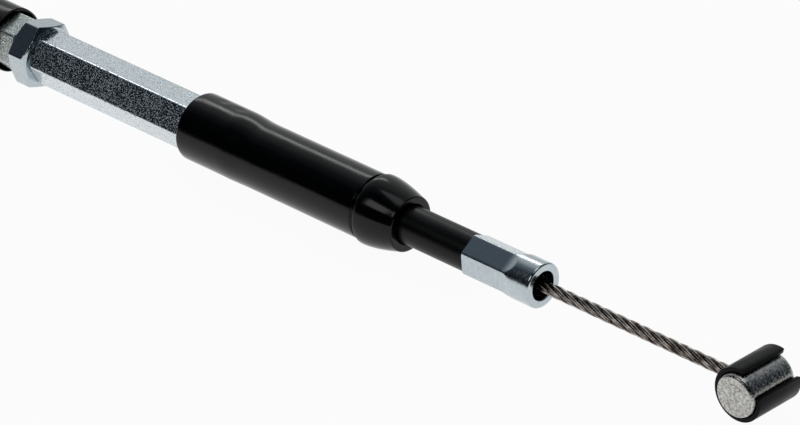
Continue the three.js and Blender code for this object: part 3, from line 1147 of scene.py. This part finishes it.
@dataclass
class Adjuster:
    """In-line adjuster: hexagon tube, lock nut, and the bolt that screws into the tube."""

    tube: Hexagon = field(default_factory=lambda: Hexagon(10.0, -134.3, -79.9, 0))
    nut: Hexagon = field(default_factory=lambda: Hexagon(12.8, -139.3, -134.4, 46))
    head: Hexagon = field(default_factory=lambda: Hexagon(10.7, -150.4, -139.4, 16))
    thread: float = 3.9
    pitch: float = 1.25
    web_bore: float = 2.1
    seat_bore: float = 4.3
    shank: float = 28.0
    skirt: float = 5.1
    skirt_back: float = -156.4
    seat: float = 9.0
    thread_room: float = 0.2
    thread_depth: float = 0.62
    crest_end: float = 0.2
    root_start: float = 0.6
    root_end: float = 0.75
    thread_start: float = 0.3  # how far past the head's face the thread starts
    tip_chamfer: float = 1.0
    bore_chamfer: float = 0.4
    bored: float = 38.0  # depth of the tube's bore for the thread
    skirt_chamfer: float = 0.3
    sides: int = 240
    skin_room: float = 0.1  # how far outside a bore the hexagon's cut starts

    def hexed(self, size: Hexagon, outline: list[Point], name: str,
              inner: float) -> bpy.types.Object:
        """Spin an outline and cut the hexagon in it."""
        shape = Shape().lathe(outline, self.sides).reshape(size.skin, inner + self.skin_room)
        return shape.turned(size.turn).finished(name, on_axis(0), sharp=25)

    def build_tube(self) -> bpy.types.Object:
        """Make the hexagon tube, bored for the thread and for the housing's cap.

        Returns:
            The piece.
        """
        size = self.tube
        bore, web = self.thread + self.thread_room, self.web_bore
        seat, stop = size.front - self.seat, size.back + self.bored
        inside = [
            (size.front, self.seat_bore), (seat, self.seat_bore), (seat, web),
            (stop, web), (stop, bore), (size.back, bore),
        ]
        outline = size.outside() + inside
        return self.hexed(size, outline, "dressed_adjuster_tube", self.seat_bore)

    def build_nut(self) -> bpy.types.Object:
        """Make the lock nut.

        Returns:
            The piece.
        """
        size = self.nut
        bore, cut = self.thread + self.thread_room, self.bore_chamfer
        inside = [
            (size.front, bore + cut), (size.front - cut, bore), (size.back + cut, bore),
            (size.back, bore + cut),
        ]
        return self.hexed(size, size.outside() + inside, "dressed_lock_nut", bore + cut)

    def thread_outline(self, start: float, end: float) -> list[Point]:
        """List the crests and roots of the thread on the bolt's shank.

        Args:
            start: Where the thread starts.
            end: Where it has ended.

        Returns:
            The outline.
        """
        crest, root = self.thread, self.thread - self.thread_depth
        points: list[Point] = []
        for turn in range(int((end - start) / self.pitch)):
            at = start + turn * self.pitch
            points += [(at, crest), (at + self.crest_end, crest), (at + self.root_start, root),
                       (at + self.root_end, root)]
        return points

    def build_bolt(self) -> bpy.types.Object:
        """Make the bolt: skirt over the housing's cap, hexagon and threaded shank.

        Returns:
            The piece.
        """
        size, cut, point = self.head, self.skirt_chamfer, self.tip_chamfer
        back, seat = self.skirt_back, self.skirt_back + self.seat
        tip = size.front + self.shank
        outline = [
            (back, self.seat_bore), (back, self.skirt - cut), (back + cut, self.skirt),
            (size.back - 0.01, self.skirt),
        ]
        outline += size.outside()
        outline += self.thread_outline(size.front + self.thread_start, tip - point)
        outline += [
            (tip - point, self.thread), (tip, self.thread - point), (tip, self.web_bore),
            (seat, self.web_bore), (seat, self.seat_bore),
        ]
        return self.hexed(size, outline, "dressed_adjuster_bolt", self.seat_bore)


@dataclass
class Jacket:
    """The housing's outer jacket, thinner where a crimp or a cap grips it."""

    radius: float = 3.9
    bore: float = 2.85
    crimped: float = 3.1
    capped: float = 3.55
    crimp_length: float = 9.3
    cap_length: float = 7.9
    front_span: Point = (-88.1, -8.3)
    rear_span: Point = (-207.4, -148.2)
    sides: int = 96

    def build_front(self) -> bpy.types.Object:
        """Make the short housing's jacket, between the adjuster and the lever ferrule.

        Returns:
            The piece.
        """
        back, front = self.front_span
        cap, crimp = back + self.cap_length, front - self.crimp_length
        outline = rounded([
            (back, self.bore, 0), (back, self.capped, 0), (cap, self.capped, 0),
            (cap, self.radius, 0), (crimp + 0.35, self.radius, 0.3),
            (crimp + 0.4, self.crimped, 0), (front, self.crimped, 0), (front, self.bore, 0),
        ])
        shape = Shape().lathe(outline, self.sides)
        return shape.finished("dressed_front_jacket", on_axis(0))

    def build_rear(self) -> bpy.types.Object:
        """Make the long housing's jacket where it goes into the adjuster.

        Returns:
            The piece.
        """
        back, front = self.rear_span
        cap = front - self.cap_length
        outline = [
            (back, self.bore), (back, self.radius), (cap, self.radius),
            (cap, self.capped), (front, self.capped), (front, self.bore),
        ]
        shape = Shape().lathe(outline, self.sides)
        return shape.finished("dressed_rear_jacket", on_axis(0))


@dataclass
class LongHousing:
    """The long housing outside the photograph: a short lead-in, its turns and a straight end."""

    radius: float = 3.9
    exit: float = -207.4
    centre_x: float = -246.0
    centre_y: float = -46.2
    outer_turn: float = 46.2
    middle_turn: float = 42.1
    inner_turn: float = 38.0
    start_height: float = 7.2
    top_height: float = 12.25
    over_height: float = 11.15
    floor_height: float = 4.05
    end_height: float = 4.6
    step: float = 7.5  # degrees between the points of a turn
    round_steps: int = 7  # points on a quarter of the housing's section
    lead: tuple[float, ...] = (
        -207.4, -211.0, -214.0, -218.0, -222.0, -226.0, -230.0, -234.0, -238.0, -242.0)
    tail: tuple[float, ...] = (
        -238.0, -228.0, -218.0, -208.0, -198.0, -188.0, -178.0, -168.0, -160.0, -152.0)
    lead_rise: Point = (208.5, 244.0)  # where the lead-in starts and stops rising
    # the rest is in degrees from the coil's start
    narrows: Point = (0.0, 70.0)  # goes in beside its first turn
    narrows_again: Point = (180.0, 240.0)
    drops: Point = (230.0, 310.0)  # comes down to the floor
    widens: Point = (540.0, 630.0)
    levels: Point = (720.0, 900.0)  # comes up to the release end's height
    whole: float = 900.0

    def turn_point(self, degrees: float) -> tuple[float, float]:
        """Give the coil's radius and height.

        Args:
            degrees: How far round the coil.

        Returns:
            Radius and height in millimetres.
        """
        first = fade(degrees, *self.narrows)
        second = fade(degrees, *self.narrows_again)
        radius = self.outer_turn + (self.middle_turn - self.outer_turn) * first
        radius += (self.inner_turn - self.middle_turn) * second
        radius += (self.outer_turn - self.inner_turn) * fade(degrees, *self.widens)
        height = self.top_height + (self.over_height - self.top_height) * first
        height += (self.floor_height - self.over_height) * fade(degrees, *self.drops)
        height += (self.end_height - self.floor_height) * fade(degrees, *self.levels)
        return radius, height

    def path(self) -> list[Place]:
        """List the points of the housing's centre line.

        Returns:
            The points in millimetres, in the part's frame.
        """
        rise = self.top_height - self.start_height
        points = [
            (FERRULE_FACE_X + x, 0.0, self.start_height + rise * fade(-x, *self.lead_rise))
            for x in self.lead
        ]
        steps = round(self.whole / self.step)
        for count in range(steps + 1):
            degrees = count * self.step
            radius, height = self.turn_point(degrees)
            angle = radians(90 + degrees)
            points.append((FERRULE_FACE_X + self.centre_x + radius * cos(angle),
                           self.centre_y + radius * sin(angle), height))
        for x in self.tail:
            points.append((FERRULE_FACE_X + x, self.centre_y - self.outer_turn, self.end_height))
        return points

    def build(self) -> tuple[bpy.types.Object, float]:
        """Make the housing as a curve and measure it.

        Returns:
            The piece, and its length in metres.
        """
        path = [Vector(point) * MM for point in self.path()]
        curve = bpy.data.curves.new("long_housing", "CURVE")
        curve.dimensions = "3D"
        curve.bevel_depth = self.radius * MM
        curve.bevel_resolution = self.round_steps
        curve.use_fill_caps = True
        spline = curve.splines.new("POLY")
        spline.points.add(len(path) - 1)
        for spot, point in zip(spline.points, path):
            spot.co = (*point, 1.0)
        spline.use_smooth = True
        made = bpy.data.objects.new("long_housing", curve)
        bpy.context.scene.collection.objects.link(made)
        return made, sum((after - before).length for before, after in zip(path, path[1:]))


@dataclass
class Viewpoint:
    """The camera, fitted to the photograph."""

    place: Place = (0.6363, -0.62797, 0.49104)
    looks: Place = (-0.60258, 0.63292, -0.48612)
    lens: float = 235.1
    reach: float = 20.0

    def build(self) -> None:
        """Make the scene's camera."""
        data = bpy.data.cameras.new("photograph")
        data.lens = self.lens
        data.clip_end = self.reach
        made = bpy.data.objects.new("photograph", data)
        made.location = self.place
        made.rotation_euler = Vector(self.looks).to_track_quat("-Z", "Y").to_euler()
        bpy.context.scene.collection.objects.link(made)
        bpy.context.scene.camera = made


@dataclass(frozen=True)
class Softbox:
    """One soft lamp that looks at the cable."""

    name: str
    place: Place
    size: Point
    radiance: float

    def build(self) -> None:
        """Make the lamp."""
        data = bpy.data.lights.new(self.name, "AREA")
        data.shape = "RECTANGLE"
        data.size, data.size_y = self.size
        data.energy = self.radiance * pi * self.size[0] * self.size[1]
        made = bpy.data.objects.new(self.name, data)
        made.location = self.place
        made.rotation_euler = (-Vector(self.place)).to_track_quat("-Z", "Y").to_euler()
        bpy.context.scene.collection.objects.link(made)


@dataclass
class Studio:
    """White floor, a dim room that is bright behind the cable, and soft lamps."""

    floor_half: float = 6.0
    floor_white: float = 0.95  # share of plain white in what the camera and metal see of it
    paper: tuple[float, float, float, float] = (0.9, 0.9, 0.9, 1.0)
    bright_side: Place = (-0.6, 0.75, 0.28)  # direction in which the room is brightest
    # the room's colour from its dark side to its bright side
    walls: tuple[tuple[float, str], ...] = (
        (0.5, "1b2026"), (0.62, "2d343c"), (0.75, "66707a"), (0.88, "b9bcbe"), (1.0, "d6d8d9"))
    lamps: tuple[Softbox, ...] = (
        Softbox("back_strip", (-0.953, 0.818, 0.959), (0.7, 0.2), 3.6),
        Softbox("overhead", (0.1, 0.1, 1.7), (1.0, 1.0), 1.3),
        Softbox("front_window", (-0.33, -1.04, 1.0), (0.45, 0.45), 2.2),
    )

    def build_floor(self) -> None:
        """Make a white floor that keeps the object's shadow."""
        bm = bmesh.new()
        bmesh.ops.create_grid(bm, x_segments=1, y_segments=1, size=self.floor_half)
        mesh = bpy.data.meshes.new("floor")
        bm.to_mesh(mesh)
        bm.free()
        made = bpy.data.materials.new("white_floor")
        graph = Graph(made)
        rays = graph.add("LightPath")
        seen = graph.add("Math", {"operation": "MAXIMUM"}, _0=rays.outputs["Is Camera Ray"],
                         _1=rays.outputs["Is Glossy Ray"])
        seen = graph.add("Math", {"operation": "MAXIMUM"}, _0=seen.outputs[0],
                         _1=rays.outputs["Is Transmission Ray"])
        share = graph.add("Math", {"operation": "MULTIPLY"}, _0=seen.outputs[0],
                          _1=self.floor_white)
        paper = graph.add("BsdfDiffuse", Color=self.paper)
        white = graph.add("Emission", Color=(1.0, 1.0, 1.0, 1.0), Strength=1.0)
        both = graph.add("MixShader", _0=share.outputs[0], _1=paper.outputs[0],
                         _2=white.outputs[0])
        graph.add("OutputMaterial", Surface=both.outputs[0])
        mesh.materials.append(made)
        floor = bpy.data.objects.new("floor", mesh)
        bpy.context.scene.collection.objects.link(floor)

    def build_room(self) -> None:
        """Light the room from behind the cable, darker and bluer towards the front."""
        world = bpy.data.worlds.new("room")
        graph = Graph(world)
        spot = graph.add("TexCoord").outputs["Generated"]
        side = Vector(self.bright_side).normalized()
        along = graph.add("VectorMath", {"operation": "DOT_PRODUCT"}, _0=spot, _1=side)
        half = graph.add("MapRange", Value=along.outputs["Value"], From_Min=-1.0)
        shade = graph.add("ValToRGB", Fac=half.outputs["Result"])
        blend = shade.color_ramp
        blend.interpolation = "EASE"
        while len(blend.elements) < len(self.walls):
            blend.elements.new(0.5)
        for element, (place, colour) in zip(blend.elements, self.walls):
            element.position = place
            element.color = linear(colour)
        light = graph.add("Background", Color=shade.outputs["Color"])
        graph.add("OutputWorld", Surface=light.outputs["Background"])
        bpy.context.scene.world = world

    def build(self) -> None:
        """Make the floor, the room and the lamps."""
        self.build_floor()
        self.build_room()
        for lamp in self.lamps:
            lamp.build()
        bpy.context.scene.view_settings.view_transform = "Standard"


class ClutchCable:
    """The whole cable, built piece by piece over its solids."""

    def __init__(self, finishes: Finishes) -> None:
        """Keep the finishes that the pieces are dressed with."""
        self.finishes = finishes

    def add(self, made: bpy.types.Object, body: str, slot: Slot, *nodes: str,
            pressed: bool = False) -> bpy.types.Object:
        """Dress a new piece and hang it on its body.

        Args:
            made: The new piece.
            body: The body it rides on.
            slot: The record's slot it is finished from.
            nodes: The solids it stands for.
            pressed: Whether a die or a tool has burnished its plate.

        Returns:
            The piece.
        """
        return report(self.finishes.dress(made, slot, pressed), body, slot, *nodes)

    def build_release_end(self) -> list[bpy.types.Object]:
        """Make the ferrule, wire and nipple at the cable's far end.

        Returns:
            The three pieces, which lie at the cord's end.
        """
        x, y, z = RELEASE_FACE
        ferrule = CrimpedFerrule().build("dressed_release_ferrule", RELEASE_FACE)
        wire = Rope().build("dressed_release_wire", RELEASE_RUN, RELEASE_FACE)
        barrel = BarrelNipple(radius=3.5, length=7.0, ring=1.9)
        nipple = barrel.build("dressed_release_nipple", (x + RELEASE_RUN.nipple, y, z))
        return [
            self.add(ferrule, "housing", Slot.ZINC, "release_ferrule", pressed=True),
            self.add(wire, "release_wire", Slot.ROPE, "release_wire"),
            self.add(nipple, "release_wire", Slot.CAST, "release_nipple"),
        ]

    def build_long_housing(self) -> None:
        far_end = self.build_release_end()
        housing = LongHousing()
        made, length = housing.build()
        self.add(made, "housing", Slot.JACKET, "housing_lead_in", "housing_coil",
                 "release_jacket")
        LOG.info("long housing: %.3f m", length)

    def build_lever_end(self) -> None:
        """Make the nipple, its bush, the wire, the ferrule and the short housing."""
        nipple_at = on_axis(LEVER_RUN.nipple)
        nipple = BarrelNipple().build("dressed_lever_nipple", nipple_at)
        self.add(nipple, "lever_wire", Slot.CAST, "lever_nipple")
        bush = ClipBush().build("dressed_lever_bush", nipple_at)
        self.add(bush, "lever_bush", Slot.NYLON, "lever_bush")
        wire = Rope().build("dressed_lever_wire", LEVER_RUN, on_axis(0))
        self.add(wire, "lever_wire", Slot.ROPE, "lever_wire")
        ferrule = CrimpedFerrule().build("dressed_lever_ferrule", on_axis(0))
        self.add(ferrule, "adjuster_tube", Slot.ZINC, "lever_ferrule", pressed=True)
        self.add(Jacket().build_front(), "adjuster_tube", Slot.JACKET, "front_jacket")
        self.add(Jacket().build_rear(), "housing", Slot.JACKET, "rear_jacket")

    def build_adjuster(self) -> None:
        """Make the adjuster's tube, nut and bolt."""
        adjuster = Adjuster()
        self.add(adjuster.build_tube(), "adjuster_tube", Slot.ZINC, "adjuster_tube")
        self.add(adjuster.build_nut(), "lock_nut", Slot.ZINC, "lock_nut", pressed=True)
        self.add(adjuster.build_bolt(), "adjuster_bolt", Slot.ZINC_DULL, "adjuster_bolt")

    def build_boots(self) -> None:
        """Make both boots."""
        front = Boot(
            Way.TO_LEVER, mouth=-90.9, mouth_radius=7.15, mouth_bore=6.0, flats_turn=0.0,
            dents=((5.1, -13.0, 0.13, 1.2, 0.8), (9.7, -11.0, 0.15, 1.5, 0.9)))
        rear = Boot(
            Way.TO_RELEASE, mouth=-144.5, mouth_radius=7.0, mouth_bore=6.42, flats_turn=16.0,
            sag=0.15)
        self.add(front.build("dressed_front_boot"), "front_boot", Slot.VINYL, "front_boot")
        self.add(rear.build("dressed_rear_boot"), "rear_boot", Slot.VINYL, "rear_boot")

    def dress_kept_solids(self) -> None:
        """Dress the solids that stay: caps, conduits and liners."""
        for name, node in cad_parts.items():
            if name.endswith(("_cap", "_conduit")):
                self.finishes.dress(node, Slot.SPRING)
            elif name.endswith("_liner"):
                self.finishes.dress(node, Slot.LINER)

    def build(self) -> None:
        """Build the cord first, then everything else."""
        self.build_long_housing()
        self.build_lever_end()
        self.build_adjuster()
        self.build_boots()
        self.dress_kept_solids()


def main() -> None:
    """Build the view, the studio and the cable in order."""
    logging.basicConfig(level=logging.INFO, format="%(name)s: %(message)s")
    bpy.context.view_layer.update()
    Viewpoint().build()
    ClutchCable(Finishes()).build()
    Studio().build()


if __name__ == "__main__":
    main()
